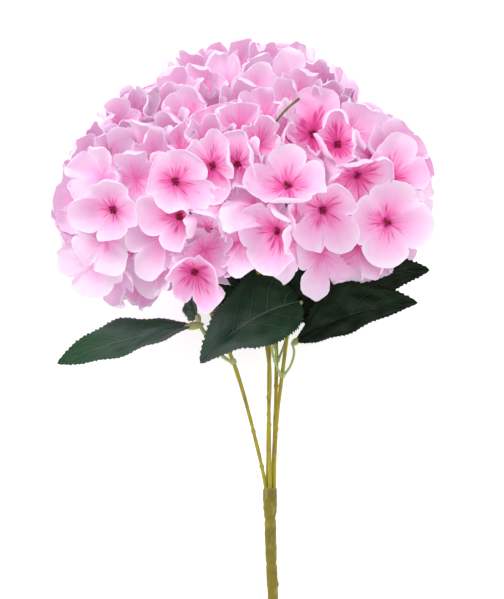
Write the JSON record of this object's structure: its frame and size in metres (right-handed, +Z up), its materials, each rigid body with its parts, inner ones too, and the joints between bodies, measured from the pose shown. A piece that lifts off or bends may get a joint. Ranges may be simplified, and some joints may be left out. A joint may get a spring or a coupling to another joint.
{
  "type": "cut hydrangea bunch",
  "caption": "Cut hydrangea bunch with fabric flowers: round pink heads and toothed dark green leaves on wire stems that fork from a moulded stalk; lies on its side.",
  "frame": {"origin": "centre of the footprint, on the surface that the bunch lies on", "axes": "+Y along the bunch from the cut end of the stalk to the heads, +Z up, from the surface to the side of the heads that shows, +X to the right seen from above with the heads at the top"},
  "size_m": [0.33, 0.4948, 0.2083],
  "materials": {
    "petal": "matt printed cloth, pale rim and deep pink veins",
    "leaf": "coated cloth with a soft sheen, dark green with lighter veins",
    "stem": "olive yellow plastic coating on wire",
    "stalk": "olive brown moulded plastic with wrapped joints",
    "leaf_stalk": "pale green moulded plastic"
  },
  "bodies": {
    "root": {"stem_left": "stem", "stem_right": "stem", "stem_front": "stem", "stem_top_left": "stem", "stem_top_right": "stem", "stalk": "stalk", "leafset_left": "leaf_stalk", "leafset_right": "leaf_stalk", "leafset_top_right": "leaf_stalk", "leafset_front": "leaf_stalk", "leafset_top_left": "leaf_stalk", "leaf_left": "leaf", "leaf_left_back": "leaf", "leaf_front": "leaf", "leaf_right": "leaf", "leaf_middle": "leaf", "leaf_right_inner": "leaf", "leaf_right_high": "leaf", "leaf_between": "leaf", "leaf_back_left": "leaf", "leaf_back_right": "leaf", "head_left": "petal", "head_right": "petal", "head_front": "petal", "head_top_left": "petal", "head_top_right": "petal"}
  },
  "joints": []
}
